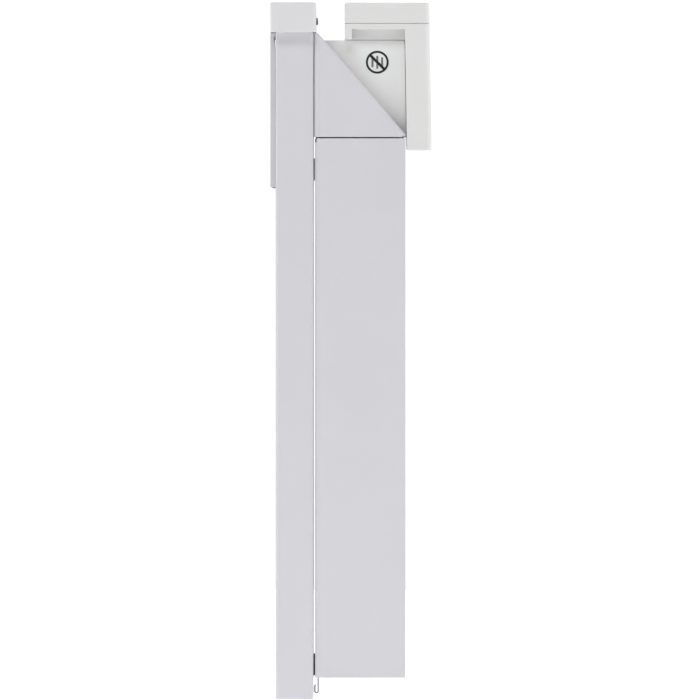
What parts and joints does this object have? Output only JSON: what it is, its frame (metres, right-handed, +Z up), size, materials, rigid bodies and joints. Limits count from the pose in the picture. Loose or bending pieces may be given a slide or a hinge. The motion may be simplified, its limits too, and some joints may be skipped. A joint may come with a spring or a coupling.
{
  "type": "folding security gate",
  "caption": "White folding gate for a narrow passage, folded beside its wall post, with a diagonal-topped front leaf and an inverted-L handle with a lift-up release.",
  "frame": {"origin": "centre of the four wall screws, on the bracket's face that meets the wall", "axes": "+X out from the wall across the passage, +Y from the front leaf towards the last leaf, +Z up"},
  "size_m": [0.1679, 0.078, 0.7244],
  "materials": {
    "panel_paint": "cool white powder coat, fine orange peel, satin",
    "leaf_profile": "cool white rigid PVC profile, satin",
    "bracket_paint": "light grey powder coat, satin",
    "cap_plastic": "moulded, fine spark-eroded grain, satin",
    "handle_plastic": "moulded neutral white, fine grain, satin",
    "white_nylon": "plain moulded",
    "black_nylon": "plain moulded, dull",
    "steel": "drawn bright",
    "screw_steel": "dark zinc"
  },
  "bodies": {
    "post": {"post_profile": "panel_paint", "post_foot": "cap_plastic", "post_cap": "cap_plastic", "post_cap_screws": "screw_steel", "wall_bracket": "bracket_paint", "bracket_hooks": "steel", "lower_hinge_block": "black_nylon", "upper_hinge_block": "white_nylon", "post_hinge_rod": "steel"},
    "leaf_1": {"leaf_1_panel": "leaf_profile", "leaf_1_top_cap": "cap_plastic", "leaf_1_bottom_cap": "cap_plastic", "hinge_rod_1_2": "steel"},
    "leaf_2": {"leaf_2_panel": "leaf_profile", "leaf_2_top_cap": "handle_plastic", "leaf_2_bottom_cap": "cap_plastic", "hinge_rod_2_3": "steel"},
    "leaf_3": {"leaf_3_panel": "leaf_profile", "leaf_3_top_cap": "cap_plastic", "leaf_3_bottom_cap": "cap_plastic", "hinge_rod_3_4": "steel"},
    "leaf_4": {"leaf_4_panel": "leaf_profile", "leaf_4_top_cap": "cap_plastic", "leaf_4_bottom_cap": "cap_plastic", "hinge_rod_4_5": "steel"},
    "leaf_5": {"leaf_5_panel": "leaf_profile", "leaf_5_top_cap": "cap_plastic", "leaf_5_bottom_cap": "cap_plastic", "hinge_rod_5_6": "steel"},
    "leaf_6": {"leaf_6_panel": "leaf_profile", "leaf_6_top_cap": "cap_plastic", "leaf_6_bottom_cap": "cap_plastic", "hinge_rod_6_7": "steel"},
    "leaf_7": {"leaf_7_panel": "leaf_profile", "leaf_7_top_cap": "cap_plastic", "leaf_7_bottom_cap": "cap_plastic", "handle_front_shell": "handle_plastic", "handle_rear_shell": "handle_plastic", "handle_screws": "screw_steel", "flange_screws": "screw_steel", "return_springs": "steel"},
    "release": {"release_cover": "handle_plastic", "latch_plate": "steel", "spring_retainers": "steel"}
  },
  "joints": [
    {"name": "post_hinge", "type": "hinge", "parent": "post", "child": "leaf_1", "pos_m": [0.0498, -0.0256, -0.3129], "axis": [0, 0, -1], "range_deg": [0, 90]},
    {"name": "hinge_1_2", "type": "hinge", "parent": "leaf_1", "child": "leaf_2", "pos_m": [0.135, -0.0175, -0.3129], "axis": [0, 0, -1], "range_deg": [0, 160]},
    {"name": "hinge_2_3", "type": "hinge", "parent": "leaf_2", "child": "leaf_3", "pos_m": [0.0505, -0.0095, -0.3129], "axis": [0, 0, -1], "range_deg": [-160, 0]},
    {"name": "hinge_3_4", "type": "hinge", "parent": "leaf_3", "child": "leaf_4", "pos_m": [0.135, -0.0015, -0.3129], "axis": [0, 0, -1], "range_deg": [0, 160]},
    {"name": "hinge_4_5", "type": "hinge", "parent": "leaf_4", "child": "leaf_5", "pos_m": [0.0505, 0.0065, -0.3129], "axis": [0, 0, -1], "range_deg": [-160, 0]},
    {"name": "hinge_5_6", "type": "hinge", "parent": "leaf_5", "child": "leaf_6", "pos_m": [0.135, 0.0145, -0.3129], "axis": [0, 0, -1], "range_deg": [0, 160]},
    {"name": "hinge_6_7", "type": "hinge", "parent": "leaf_6", "child": "leaf_7", "pos_m": [0.0505, 0.0225, -0.3129], "axis": [0, 0, -1], "range_deg": [-160, 0]},
    {"name": "release_lift", "type": "slide", "parent": "leaf_7", "child": "release", "axis": [0, 0, 1], "range_m": [0, 0.006], "stiffness_N_per_m": 600, "springref_m": -0.006, "deforming": ["return_springs"]}
  ],
  "couplings": [
    {"joint": "hinge_2_3", "follows": "hinge_1_2", "ratio": -1},
    {"joint": "hinge_3_4", "follows": "hinge_1_2", "ratio": 1},
    {"joint": "hinge_4_5", "follows": "hinge_1_2", "ratio": -1},
    {"joint": "hinge_5_6", "follows": "hinge_1_2", "ratio": 1},
    {"joint": "hinge_6_7", "follows": "hinge_1_2", "ratio": -1}
  ]
}
